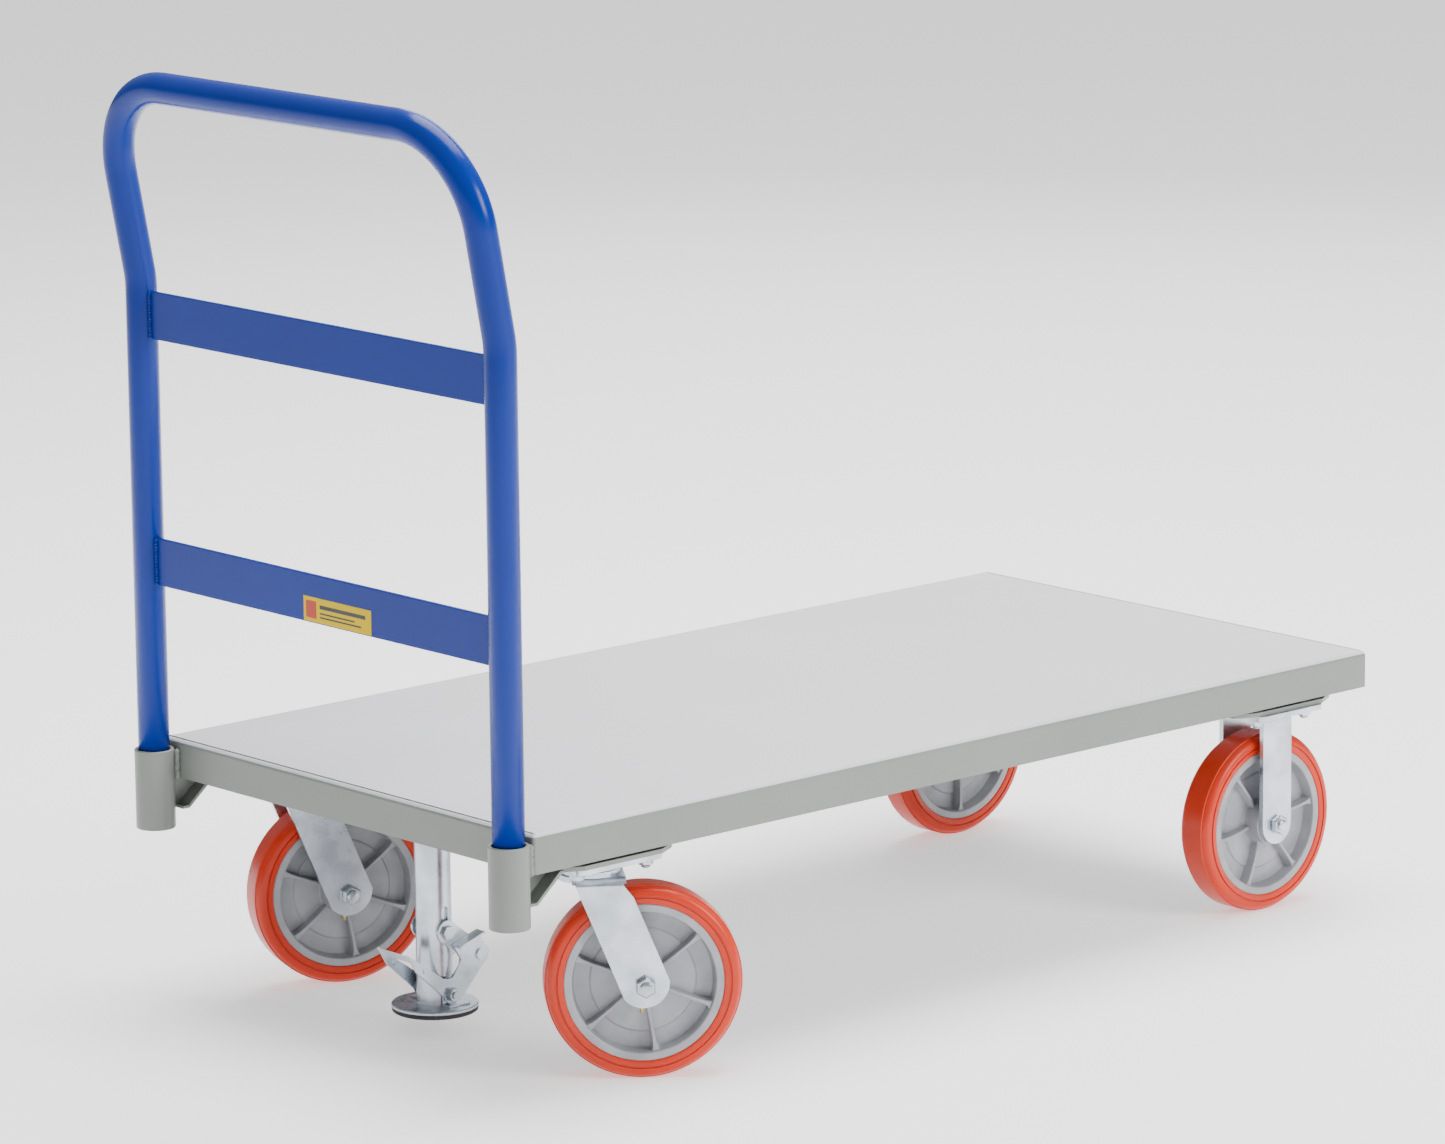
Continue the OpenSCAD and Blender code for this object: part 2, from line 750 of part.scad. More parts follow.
// Loose rollers between two cage rings, inside the hub
module roller_bearing() {
  ring_h = 2;
  roller_l = 2 * hub_h - 2 * ring_h - 4;
  path_r = sleeve_d / 2 + pin_fit + roller_d / 2;
  rotate([90, 0, 0]) {
    for (i = [0:roller_count - 1])
      rotate([0, 0, i * 360 / roller_count]) translate([path_r, 0, 0])
        cylinder(d = roller_d, h = roller_l, center = true, $fn = 24);
    for (s = [0, 1])
      mirror([0, 0, s]) translate([0, 0, roller_l / 2 + rest_gap])
        ring(2 * bore_r - 2 * pin_fit, sleeve_d + 2 * pin_fit, ring_h);
  }
}

// ---------- mounting bolts ----------

module mounting_bolt() {
  low = lock_plate_z - nut_h - 3;
  translate([0, 0, low]) cylinder(d = bolt_d, h = caster_h + bolster_t + eps - low);
  translate([0, 0, caster_h + bolster_t]) hex(bolt_af, bolt_head_h);
}

module mounting_nut() {
  translate([0, 0, lock_plate_z - nut_h]) difference() {
    hex(bolt_af, nut_h);
    translate([0, 0, -eps]) cylinder(d = bolt_d + 2 * seat, h = nut_h + 2 * eps);
  }
}

module mounting_bolts() {
  color(zinc) {
    swivel_bolts() mounting_bolt();
    rigid_bolts() mounting_bolt();
    lock_bolts() mounting_bolt();
  }
}

module mounting_nuts() {
  color(zinc) {
    swivel_bolts() mounting_nut();
    rigid_bolts() mounting_nut();
    lock_bolts() mounting_nut();
  }
}

// ---------- floor lock ----------

module at_lock() {
  translate([lock_x, 0, 0]) children();
}

// A cylinder along Y, from distance a to distance b on the +Y side
module along_y(d, a, b) {
  translate([0, a, 0]) rotate([-90, 0, 0]) cylinder(d = d, h = b - a);
}

// A flat shape in the XZ plane, from distance a to distance b on the +Y side
module plate_y(a, b) {
  translate([0, b, 0]) rotate([90, 0, 0]) linear_extrude(b - a) children();
}

module lock_plate_top() {
  color(zinc) difference() {
    at_lock() translate([0, 0, lock_plate_z]) linear_extrude(plate_t) rounded_rect(lock_plate, lock_plate, 8);
    lock_bolts() bolt_hole();
  }
}

module lock_post() {
  color(zinc) at_lock() difference() {
    translate([0, 0, post_foot]) ring(lock_post_d, post_bore, lock_plate_z - post_foot);
    translate([0, 0, spring_top + 3]) rotate([0, 90, 0]) cylinder(d = 4 + 2 * seat, h = slide_d, center = true);
    both_sides() translate([0, 0, link_z]) along_y(pivot_d + 2 * seat, post_bore / 2 + 1, slide_d);
  }
}

// Shouldered studs, screwed into the post through the sleeve's slots, that carry the link
module lock_studs() {
  color(zinc) at_lock() both_sides() translate([0, 0, link_z]) {
    along_y(pivot_d, post_bore / 2 + 1.5, lug_y + link_t + 0.5);
    translate([0, lug_y + link_t + rest_gap, 0]) rotate([-90, 0, 0]) hex(stud_af, 4 - rest_gap);
  }
}

module lock_sleeve() {
  slot_w = pivot_d + 1;
  slot_top = link_z + lock_clear;
  color(zinc) at_lock() difference() {
    union() {
      translate([0, 0, foot_top]) cylinder(d = slide_d, h = slide_top - foot_top);
      translate([0, 0, foot_top]) cylinder(d1 = slide_d + 1.6, d2 = slide_d, h = 3);
    }
    translate([0, 0, foot_top - eps]) cylinder(d = slide_bore, h = slide_top);
    both_sides() {
      translate([0, 0, link_z]) along_y(slot_w, post_bore / 2, slide_d);
      translate([0, 0, slot_top]) along_y(slot_w, post_bore / 2, slide_d);
      translate([-slot_w / 2, post_bore / 2, link_z]) cube([slot_w, slide_d, slot_top - link_z]);
    }
    translate([0, 0, link_z + 52]) rotate([0, 0, 52]) rotate([90, 0, 0]) cylinder(d = 4, h = slide_d);
  }
}

module lock_foot() {
  color(zinc) at_lock() {
    translate([0, 0, foot_z]) cylinder(d = foot_d, h = foot_t);
    translate([0, 0, foot_top - eps]) cylinder(d = 6, h = eye_top - foot_top + eps);
  }
}

module lock_pad() {
  color("dimgray") at_lock() translate([0, 0, pad_z]) cylinder(d = foot_d, h = pad_t);
}

// Upright ears on the foot, with a flange out along the foot plate
module lock_lugs() {
  ear_r = 9;
  color(zinc) at_lock() both_sides() {
    plate_y(lug_y, lug_y + link_t) {
      translate([pedal_out, pedal_z]) circle(r = ear_r);
      translate([pedal_out - ear_r, foot_top]) square([2 * ear_r, pedal_up]);
    }
    translate([pedal_out - ear_r, lug_y, foot_top]) cube([2 * ear_r + 10, 13, 2.5]);
  }
}

module lock_pivots() {
  color(zinc) at_lock() both_sides() translate([pedal_out, 0, pedal_z])
    along_y(pivot_d, lug_y + link_t, pedal_y + pedal_t + 8);
}

module lock_pivot_nuts() {
  nut_y = pedal_y + pedal_t + rest_gap;
  color(zinc) at_lock() both_sides() translate([pedal_out, nut_y, pedal_z]) rotate([-90, 0, 0]) difference() {
    hex(13, 5.5);
    translate([0, 0, -eps]) cylinder(d = pivot_d + 2 * seat, h = 7);
  }
}

// Side plate of the pedal, drawn about its pivot: an arm to the nose and a crank to the rivet
module pedal_side() {
  rivet = [rivet_x, rivet_z];
  difference() {
    union() {
      circle(r = 10);
      translate(rivet) circle(r = 11);
      polygon([
        [-10, -2], [-46, 31], [-58, 52], [-9, 17], [1, 17.5], [11.5, 30], [13, 35.5], [3, 52.5],
        [rivet_x - 3, rivet_z + 27], [rivet_x + 6, rivet_z + 9.2], [rivet_x + 10.2, rivet_z - 4],
        [15.5, -4], [4, -9.1], [-4, -9.1]
      ]);
    }
    circle(d = pivot_d + 2 * pin_fit);
    translate(rivet) circle(d = pivot_d + 2 * seat);
    translate([-38, 31.5]) rotate(15) square([1.8, 5.5], center = true);
  }
}

// Two side plates, joined by a web across the ends of their arms, with a toe tab on one of them
module lock_pedal() {
  wide = pedal_y + pedal_t;
  tab_a = atan2(rivet_z + 27 - 52.5, rivet_x - 6);
  inlay = 0.4;
  color(zinc) at_lock() translate([pedal_out, 0, pedal_z]) {
    both_sides() plate_y(pedal_y, wide) pedal_side();
    rotate([90, 0, 0]) linear_extrude(2 * wide - 2 * inlay, center = true)
      polygon([[-57.6, 51.3], [-53.4, 43.9], [-50.6, 42], [-54.8, 49.3]]);
    translate([3, -wide - 11, 52.5]) rotate([0, -tab_a, 0])
      translate([0, 0, -2.6]) cube([norm([rivet_x - 6, rivet_z - 25.5]), 11 + pedal_t - inlay, 2.4]);
  }
}

module lock_rivets() {
  head_y = pedal_y + pedal_t;
  color(zinc) at_lock() both_sides() translate([pedal_out + rivet_x, 0, pedal_z + rivet_z]) {
    along_y(pivot_d, lug_y - 0.3, head_y + 1);
    along_y(13, head_y, head_y + 2.2);
  }
}

// Two-eared link from the fixed studs to the pedal's rivets, with a web across its upper edge
module lock_link() {
  big = 12.5;
  small = 9.5;
  color(zinc) at_lock() translate([0, 0, link_z]) rotate([0, -link_a, 0]) {
    both_sides() plate_y(lug_y, lug_y + link_t) difference() {
      union() {
        circle(r = big);
        translate([link_len, 0]) circle(r = small);
        polygon([[0, -big], [link_len, -small], [link_len, small], [0, big]]);
      }
      circle(d = pivot_d + 2 * pin_fit);
      translate([link_len, 0]) circle(r = pivot_d / 2 + rivet_slack);
    }
    translate([28, -lug_y - eps, 7.6]) cube([14, 2 * lug_y + 2 * eps, 2.2]);
  }
}

module lock_spring_pin() {
  color(zinc) at_lock() translate([0, 0, spring_top + 3]) rotate([0, 90, 0])
    cylinder(d = 4, h = lock_post_d - 2, center = true);
}

// Centre line of the return spring: straight tail, coils, straight hook
function spring_point(i, per_turn, lead) =
  let (n = spring_turns * per_turn, coil_h = spring_turns * spring_pitch)
  let (k = min(max(i - lead, 0), n), grow = min(1, min(i, n + 2 * lead - i) / lead))
  let (coil_low = spring_top - coil_h - 4)
  let (z = i < lead ? eye_top + 1 + (coil_low - eye_top - 1) * i / lead
         : i > n + lead ? coil_low + coil_h + 4.7 * (i - n - lead) / lead
         : coil_low + coil_h * k / n)
  [spring_r * grow * cos(360 * i / per_turn), spring_r * grow * sin(360 * i / per_turn), z];

function unit(v) = v / norm(v);

module lock_spring() {
  per_turn = 12;
  lead = 6;
  sides = 6;
  count = spring_turns * per_turn + 2 * lead;
  centre = [for (i = [0:count]) spring_point(i, per_turn, lead)];
  rings = [for (i = [0:count])
    let (t = unit(centre[min(i + 1, count)] - centre[max(i - 1, 0)]))
    let (side_dir = unit(cross(t, abs(t[2]) > 0.9 ? [1, 0, 0] : [0, 0, 1])))
    let (up_dir = cross(side_dir, t))
    for (s = [0:sides - 1])
      centre[i] + spring_wire / 2 * (side_dir * cos(360 * s / sides) + up_dir * sin(360 * s / sides))];
  walls = [for (i = [0:count - 1], s = [0:sides - 1])
    [i * sides + s, (i + 1) * sides + s, (i + 1) * sides + (s + 1) % sides, i * sides + (s + 1) % sides]];
  color("silver") at_lock() polyhedron(
    points = rings,
    faces = concat([[for (s = [0:sides - 1]) s]], walls, [[for (s = [sides - 1:-1:0]) count * sides + s]])
  );
}

// ---------- caster nodes ----------

module swivel_fork_right() {
  color(zinc) at_caster(0) swivel_fork();
}

module swivel_fork_left() {
  color(zinc) at_caster(1) swivel_fork();
}

module rigid_fork_right() {
  color(zinc) at_caster(2) rigid_fork();
}

module rigid_fork_left() {
  color(zinc) at_caster(3) rigid_fork();
}

module swivel_axle_right() {
  color(zinc) at_wheel(0) axle_set(-1);
}

module swivel_axle_left() {
  color(zinc) at_wheel(1) axle_set(-1);
}

module rigid_axles() {
  color(zinc) {
    at_wheel(2) axle_set(-1);
    at_wheel(3) axle_set(-1);
  }
}

module axle_sleeve_right() {
  color("silver") at_wheel(0) axle_sleeve();
}

module axle_sleeve_left() {
  color("silver") at_wheel(1) axle_sleeve();
}

module rigid_axle_sleeves() {
  color("silver") {
    at_wheel(2) axle_sleeve();
    at_wheel(3) axle_sleeve();
  }
}

module tread_at(i) {
  color("tomato") at_wheel(i) tread();
}

module core_at(i) {
  color("silver") at_wheel(i) wheel_core(wheel_turns[i]);
}

module bearing_at(i) {
  color("dimgray") at_wheel(i) roller_bearing();
}

module fitting_at(i) {
  color("goldenrod") at_wheel(i) grease_fitting(wheel_turns[i]);
}

deck_pan();
deck_stiffeners();
swivel_bolster();
rigid_bolster();
handle_sockets();
socket_gussets();
socket_welds();
handle_tube();
upper_crossbar();
lower_crossbar();
crossbar_welds();
handle_label();
swivel_plates();
swivel_balls();
king_pins();
king_nuts();
swivel_fork_right();
swivel_fork_left();
rigid_fork_right();
rigid_fork_left();
swivel_axle_right();
swivel_axle_left();
rigid_axles();
axle_sleeve_right();
axle_sleeve_left();
rigid_axle_sleeves();
tread_at(0);  // tread_swivel_right
tread_at(1);  // tread_swivel_left
tread_at(2);  // tread_rigid_right
tread_at(3);  // tread_rigid_left
core_at(0);  // core_swivel_right
core_at(1);  // core_swivel_left
core_at(2);  // core_rigid_right
core_at(3);  // core_rigid_left
bearing_at(0);  // bearing_swivel_right
bearing_at(1);  // bearing_swivel_left
bearing_at(2);  // bearing_rigid_right
bearing_at(3);  // bearing_rigid_left
fitting_at(0);  // fitting_swivel_right
fitting_at(1);  // fitting_swivel_left
fitting_at(2);  // fitting_rigid_right
fitting_at(3);  // fitting_rigid_left
mounting_bolts();
mounting_nuts();
lock_plate_top();
lock_post();
lock_studs();
lock_spring();
lock_spring_pin();
lock_sleeve();
lock_foot();
lock_pad();
lock_lugs();
lock_pivots();
lock_pivot_nuts();
lock_pedal();
lock_rivets();
lock_link();
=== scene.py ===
"""Flatbed platform truck: steel deck, lift-out tube handle, four casters and a floor lock."""

import json
import math
import random

import bmesh
import bpy
from mathutils import Matrix, Vector


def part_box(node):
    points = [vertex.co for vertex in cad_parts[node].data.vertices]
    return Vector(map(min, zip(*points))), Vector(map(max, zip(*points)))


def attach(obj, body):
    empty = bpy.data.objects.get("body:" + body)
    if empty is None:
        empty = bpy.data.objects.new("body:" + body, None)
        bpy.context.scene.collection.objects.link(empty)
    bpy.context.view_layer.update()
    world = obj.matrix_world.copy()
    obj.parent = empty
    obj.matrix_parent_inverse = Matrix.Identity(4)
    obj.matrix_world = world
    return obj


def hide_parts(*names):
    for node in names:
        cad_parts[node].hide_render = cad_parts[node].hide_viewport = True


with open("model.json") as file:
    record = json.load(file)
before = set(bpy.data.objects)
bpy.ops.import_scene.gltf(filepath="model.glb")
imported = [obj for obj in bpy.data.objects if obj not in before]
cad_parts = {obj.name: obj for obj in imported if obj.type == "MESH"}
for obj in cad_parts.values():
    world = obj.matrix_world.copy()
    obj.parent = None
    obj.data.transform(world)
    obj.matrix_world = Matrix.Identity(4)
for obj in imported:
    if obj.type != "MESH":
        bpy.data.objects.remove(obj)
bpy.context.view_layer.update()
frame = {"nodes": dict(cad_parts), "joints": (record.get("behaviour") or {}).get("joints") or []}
MM = 0.001
joints = {joint["name"]: joint for joint in frame["joints"]}

# ---------------------------------------------------------------- studio
# A pale floor with a faint glow, a surround that darkens towards the horizon
# and three broad soft lamps, seen through a long lens from the handle's end.

LENS_MM = 164.6
SKY_STRENGTH = 0.6
SKY_LOW, SKY_HIGH = (0.26, 0.27, 0.28, 1), (0.97, 0.98, 1, 1)
FLOOR_WHITE = (0.93, 0.93, 0.93, 1)
FLOOR_GLOW = 0.65
EYE = Vector((-4.72169, -5.19648, 1.88567))
YAW, PITCH, ROLL = (math.radians(angle) for angle in (48.236, -11.7945, -0.565))

ahead = Vector((math.cos(PITCH) * math.cos(YAW), math.cos(PITCH) * math.sin(YAW), math.sin(PITCH)))
level = Vector((math.sin(YAW), -math.cos(YAW), 0))
upright = level.cross(ahead)
side = level * math.cos(ROLL) + upright * math.sin(ROLL)
top = upright * math.cos(ROLL) - level * math.sin(ROLL)
camera = bpy.data.objects.new("camera", bpy.data.cameras.new("camera"))
camera.data.lens = LENS_MM
camera.data.sensor_width = 36
camera.data.clip_end = 100
camera.matrix_world = Matrix.Translation(EYE) @ Matrix((side, top, -ahead)).transposed().to_4x4()
bpy.context.scene.collection.objects.link(camera)
bpy.context.scene.camera = camera

surround = bpy.data.worlds.new("surround")
surround.use_nodes = True
backdrop = surround.node_tree.nodes["Background"]
backdrop.inputs["Strength"].default_value = SKY_STRENGTH
sky_place = surround.node_tree.nodes.new("ShaderNodeTexCoord")
sky_split = surround.node_tree.nodes.new("ShaderNodeSeparateXYZ")
sky_shades = surround.node_tree.nodes.new("ShaderNodeValToRGB")
sky_shades.color_ramp.elements[0].position = 0.02
sky_shades.color_ramp.elements[0].color = SKY_LOW
sky_shades.color_ramp.elements[1].position = 0.45
sky_shades.color_ramp.elements[1].color = SKY_HIGH
surround.node_tree.links.new(sky_place.outputs["Generated"], sky_split.inputs["Vector"])
surround.node_tree.links.new(sky_split.outputs["Z"], sky_shades.inputs["Fac"])
surround.node_tree.links.new(sky_shades.outputs["Color"], backdrop.inputs["Color"])
bpy.context.scene.world = surround


def lamp(name, place, size, watts, aim=(0, 0, 0.3)):
    light = bpy.data.lights.new(name, "AREA")
    light.size = size
    light.energy = watts
    holder = bpy.data.objects.new(name, light)
    holder.location = place
    holder.rotation_euler = (Vector(aim) - Vector(place)).to_track_quat("-Z", "Y").to_euler()
    bpy.context.scene.collection.objects.link(holder)


lamp("overhead_lamp", (0.6, 0.2, 4.2), 3.4, 330)
lamp("front_lamp", (1.4, -5.0, 2.6), 2.2, 230)
lamp("back_lamp", (3.5, 3.0, 2.6), 2.5, 60)

FLOOR_SIZE = 60.0
floor_mesh = bmesh.new()
bmesh.ops.create_grid(floor_mesh, x_segments=1, y_segments=1, size=FLOOR_SIZE / 2)
floor_data = bpy.data.meshes.new("floor")
floor_mesh.to_mesh(floor_data)
floor_mesh.free()
floor = bpy.data.objects.new("floor", floor_data)
floor_paint = bpy.data.materials.new("floor")
floor_paint.use_nodes = True
floor_shader = floor_paint.node_tree.nodes["Principled BSDF"]
floor_shader.inputs["Base Color"].default_value = FLOOR_WHITE
floor_shader.inputs["Roughness"].default_value = 0.9
floor_shader.inputs["Emission Color"].default_value = (1, 1, 1, 1)
floor_shader.inputs["Emission Strength"].default_value = FLOOR_GLOW
floor.data.materials.append(floor_paint)
bpy.context.scene.collection.objects.link(floor)

# ---------------------------------------------------------------- deck
# One sheet of 12 gauge steel, folded down on all four sides and welded at its
# corners, sprayed with gray enamel; its upward faces get a lighter copy, painted
# light from above. The stiffeners and the bolsters are welded on underneath.

DECK_SHEET = 2.66 * MM
FOLD = 6.5 * MM
CORNER = 4 * MM
WIDE_FACE = 0.02  # in square metres: a face this large is shaded flat
DECK_STRIPS = 12
# The first gray is the enamel made lighter for the faces that point up: painted light from above.
TOP_LIT_GRAY = (0.60, 0.605, 0.625)
SKIRT_GRAY = (0.215, 0.232, 0.21)


def coating(
    name, light, dark, metal=0.0, rough=(0.3, 0.42), blotch=6.0, grain=900.0, depth=0.04,
    coat=0.0, specular=0.5,
):
    """A finish whose colour drifts between two shades, over a fine grain."""
    material = bpy.data.materials.new(name)
    material.use_nodes = True
    nodes, links = material.node_tree.nodes, material.node_tree.links
    shader = nodes["Principled BSDF"]
    shader.inputs["Metallic"].default_value = metal
    shader.inputs["Specular IOR Level"].default_value = specular
    shader.inputs["Coat Weight"].default_value = coat
    shader.inputs["Coat Roughness"].default_value = 0.12
    place = nodes.new("ShaderNodeTexCoord")
    drift = nodes.new("ShaderNodeTexNoise")
    drift.inputs["Scale"].default_value = blotch
    drift.inputs["Detail"].default_value = 5
    links.new(place.outputs["Object"], drift.inputs["Vector"])
    shades = nodes.new("ShaderNodeValToRGB")
    shades.color_ramp.elements[0].position = 0.3
    shades.color_ramp.elements[1].position = 0.7
    shades.color_ramp.elements[0].color = (*dark, 1)
    shades.color_ramp.elements[1].color = (*light, 1)
    links.new(drift.outputs["Fac"], shades.inputs["Fac"])
    links.new(shades.outputs["Color"], shader.inputs["Base Color"])
    gloss = nodes.new("ShaderNodeMapRange")
    gloss.inputs["To Min"].default_value = rough[0]
    gloss.inputs["To Max"].default_value = rough[1]
    links.new(drift.outputs["Fac"], gloss.inputs["Value"])
    links.new(gloss.outputs["Result"], shader.inputs["Roughness"])
    fine = nodes.new("ShaderNodeTexNoise")
    fine.inputs["Scale"].default_value = grain
    fine.inputs["Detail"].default_value = 2
    links.new(place.outputs["Object"], fine.inputs["Vector"])
    bump = nodes.new("ShaderNodeBump")
    bump.inputs["Strength"].default_value = depth
    bump.inputs["Distance"].default_value = 0.5 * MM
    links.new(fine.outputs["Fac"], bump.inputs["Height"])
    links.new(bump.outputs["Normal"], shader.inputs["Normal"])
    return material


def shaded(color, factor):
    return tuple(min(1.0, channel * factor) for channel in color)


# The lighter copy of the enamel for the top faces, painted light from above; the skirt keeps the
# gray-green.
top_lit_enamel = coating(
    "top_lit_enamel", shaded(TOP_LIT_GRAY, 1.02), shaded(TOP_LIT_GRAY, 0.97), rough=(0.32, 0.42), depth=0.02
)
skirt_enamel = coating("skirt_enamel", shaded(SKIRT_GRAY, 1.04), shaded(SKIRT_GRAY, 0.95), depth=0.05)


def made(name, bm, body, material, nodes=(), sharp=35.0):
    """Turns a bmesh into a piece that rides on a body and stands for CAD nodes."""
    mesh = bpy.data.meshes.new(name)
    bm.to_mesh(mesh)
    bm.free()
    for polygon in mesh.polygons:
        polygon.use_smooth = polygon.area < WIDE_FACE
    mesh.set_sharp_from_angle(angle=math.radians(sharp))
    for one in material if isinstance(material, (list, tuple)) else [material]:
        mesh.materials.append(one)
    piece = bpy.data.objects.new(name, mesh)
    bpy.context.scene.collection.objects.link(piece)
    normals = piece.modifiers.new("normals", "WEIGHTED_NORMAL")
    normals.keep_sharp = True
    normals.weight = 100
    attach(piece, body)
    if nodes:
        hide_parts(*nodes)
    return piece


def block(low, high, bevel=0.0, segments=2):
    """A rectangular bar between two corners, with eased edges."""
    low, high = Vector(low), Vector(high)
    bm = bmesh.new()
    bmesh.ops.create_cube(bm, size=1)
    bmesh.ops.scale(bm, vec=high - low, verts=bm.verts)
    bmesh.ops.translate(bm, vec=(low + high) / 2, verts=bm.verts)
    if bevel:
        bmesh.ops.bevel(
            bm, geom=bm.edges[:], offset=bevel, segments=segments, profile=0.5, affect="EDGES", material=-1
        )
    return bm


def painted(material, *nodes):
    """Gives the meshes of CAD nodes one material."""
    for node in nodes:
        frame["nodes"][node].data.materials.clear()
        frame["nodes"][node].data.materials.append(material)


deck_low, deck_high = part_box("deck_pan")
pan = block(deck_low, deck_high)
uprights = [e for e in pan.edges if abs(e.verts[0].co.z - e.verts[1].co.z) > FOLD]
bmesh.ops.bevel(pan, geom=uprights, offset=CORNER, segments=4, profile=0.5, affect="EDGES", material=-1)
rim = [e for e in pan.edges if all(v.co.z > deck_high.z - MM for v in e.verts)]
bmesh.ops.bevel(pan, geom=rim, offset=FOLD, segments=6, profile=0.5, affect="EDGES", material=-1)
bmesh.ops.delete(pan, geom=[f for f in pan.faces if f.normal.z < -0.9], context="FACES")
for step in range(1, DECK_STRIPS):
    along = deck_low.lerp(deck_high, step / DECK_STRIPS)
    whole = pan.verts[:] + pan.edges[:] + pan.faces[:]
    bmesh.ops.bisect_plane(pan, geom=whole, plane_co=along, plane_no=(1, 0, 0))
bmesh.ops.recalc_face_normals(pan, faces=pan.faces)
bmesh.ops.solidify(pan, geom=pan.faces[:], thickness=DECK_SHEET)
for vert in pan.verts:
    if vert.co.z > deck_high.z - 0.1 * MM:
        vert.co.z = deck_high.z
# Faces that point up take the lighter enamel copy, painted light on the top; the others keep the
# gray-green.
for face in pan.faces:
    face.material_index = 0 if face.normal.z > 0.5 else 1
made("deck_sheet", pan, "truck", [top_lit_enamel, skirt_enamel], ["deck_pan"])

painted(skirt_enamel, "deck_stiffeners", "swivel_bolster", "rigid_bolster", "socket_gussets")

# ---------------------------------------------------------------- handle sockets
# Short pipes, open at the top, that are welded against the end skirt with a
# heavy bead down each side. The handle's posts drop into them.

SOCKET_R = 21.1 * MM
SOCKET_BORE_R = 17.52 * MM
SOCKET_FLOOR = 3 * MM
SOCKET_LIP = 0.6 * MM
SOCKET_EASE = 0.8 * MM
DRAIN_R = SOCKET_BORE_R / 3
BEAD_R = 4.0 * MM
RIPPLE = 3.2 * MM

handle_low, handle_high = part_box("handle_tube")
socket_low, socket_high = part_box("handle_sockets")
post_x = socket_low.x + SOCKET_R
post_y = socket_high.y - SOCKET_R


def turned(profile, steps=64, closed=False):
    """Spins a profile of (radius, height) points round Z."""
    bm = bmesh.new()
    points = [bm.verts.new((radius, 0, height)) for radius, height in profile]
    pairs = list(zip(points, points[1:])) + ([(points[-1], points[0])] if closed else [])
    edges = [bm.edges.new(pair) for pair in pairs]
    bmesh.ops.spin(
        bm, geom=points + edges, cent=(0, 0, 0), axis=(0, 0, 1), angle=2 * math.pi, steps=steps,
        use_merge=True,
    )
    bmesh.ops.remove_doubles(bm, verts=bm.verts, dist=1e-6)
    bmesh.ops.recalc_face_normals(bm, faces=bm.faces)
    return bm


def added(bm, part, *places):
    """Puts one copy of a part into bm at each place, which is a matrix or a point."""
    for place in places:
        copy = part.copy()
        bmesh.ops.transform(
            copy, matrix=place if isinstance(place, Matrix) else Matrix.Translation(place), verts=copy.verts
        )
        mesh = bpy.data.meshes.new("part")
        copy.to_mesh(mesh)
        copy.free()
        bm.from_mesh(mesh)
        bpy.data.meshes.remove(mesh)
    part.free()
    return bm


def weld_bead(start, end, radius, seed):
    """A rippled weld bead between two points, as a row of overlapping puddles."""
    start, end = Vector(start), Vector(end)
    shaky = random.Random(seed)
    count = max(3, round((end - start).length / RIPPLE))
    bm = bmesh.new()
    for i in range(count + 1):
        puddle = bmesh.new()
        bmesh.ops.create_icosphere(puddle, subdivisions=2, radius=radius * shaky.uniform(0.9, 1.12))
        jitter = Vector([shaky.uniform(-0.07, 0.07) * radius for _ in range(3)])
        added(bm, puddle, start.lerp(end, i / count) + jitter)
    return bm


pipes = bmesh.new()
socket_wall = turned(
    [
        (SOCKET_BORE_R, socket_low.z + SOCKET_FLOOR),
        (SOCKET_BORE_R, socket_high.z - SOCKET_LIP),
        (SOCKET_BORE_R + SOCKET_LIP, socket_high.z),
        (SOCKET_R - SOCKET_EASE, socket_high.z),
        (SOCKET_R, socket_high.z - SOCKET_EASE),
        (SOCKET_R, socket_low.z + SOCKET_EASE),
        (SOCKET_R - SOCKET_EASE, socket_low.z),
        (DRAIN_R, socket_low.z),
        (DRAIN_R, socket_low.z + SOCKET_FLOOR),
    ],
    closed=True,
)
added(pipes, socket_wall, (post_x, post_y, 0), (post_x, -post_y, 0))
made("socket_pipes", pipes, "truck", skirt_enamel, ["handle_sockets"])

beads = bmesh.new()
for i, (sign, edge) in enumerate([(1, 1), (1, -1), (-1, 1), (-1, -1)]):
    spot_y = sign * (post_y + edge * 14.5 * MM)
    if abs(spot_y) > deck_high.y - 3 * MM:
        spot_y = math.copysign(deck_high.y - 3 * MM, spot_y)
    foot = (deck_low.x - 2.5 * MM, spot_y, deck_low.z + 3 * MM)
    head = (deck_low.x - 2.5 * MM, spot_y, deck_high.z - 13 * MM)
    added(beads, weld_bead(foot, head, BEAD_R, i), (0, 0, 0))
made("socket_beads", beads, "truck", skirt_enamel, ["socket_welds"], sharp=80)

# ---------------------------------------------------------------- handle
# One length of steel pipe, bent at the lean and at both top corners, with two
# flat crossbars welded between the posts. All of it is gloss blue enamel.

TUBE_R = 16.7 * MM
TUBE_WALL = 3.38 * MM
LEAN = math.radians(10.8)
LEAN_Z = 780.9 * MM
LEAN_R = 120 * MM
CORNER_R = 100 * MM
BAR_EDGE = 1.2 * MM
HANDLE_BLUE = (0.0, 0.021, 0.235)

blue_enamel = coating(
    "blue_enamel", shaded(HANDLE_BLUE, 1.08), shaded(HANDLE_BLUE, 0.94), rough=(0.2, 0.27),
    depth=0.03, coat=0.04, specular=0.22,
)


def turned_on(bm, edges, centre, axis, angle, steps):
    """Bends the run on from its open ring and returns the new ring."""
    ring = bmesh.ops.spin(bm, geom=edges, cent=centre, axis=axis, angle=angle, steps=steps, use_merge=False)
    return [e for e in ring["geom_last"] if isinstance(e, bmesh.types.BMEdge)]


def run_on(bm, edges, step):
    """Runs straight on from an open ring and returns the new ring."""
    grown = bmesh.ops.extrude_edge_only(bm, edges=edges)["geom"]
    bmesh.ops.translate(bm, vec=step, verts=[v for v in grown if isinstance(v, bmesh.types.BMVert)])
    return [e for e in grown if isinstance(e, bmesh.types.BMEdge) and e.is_boundary]


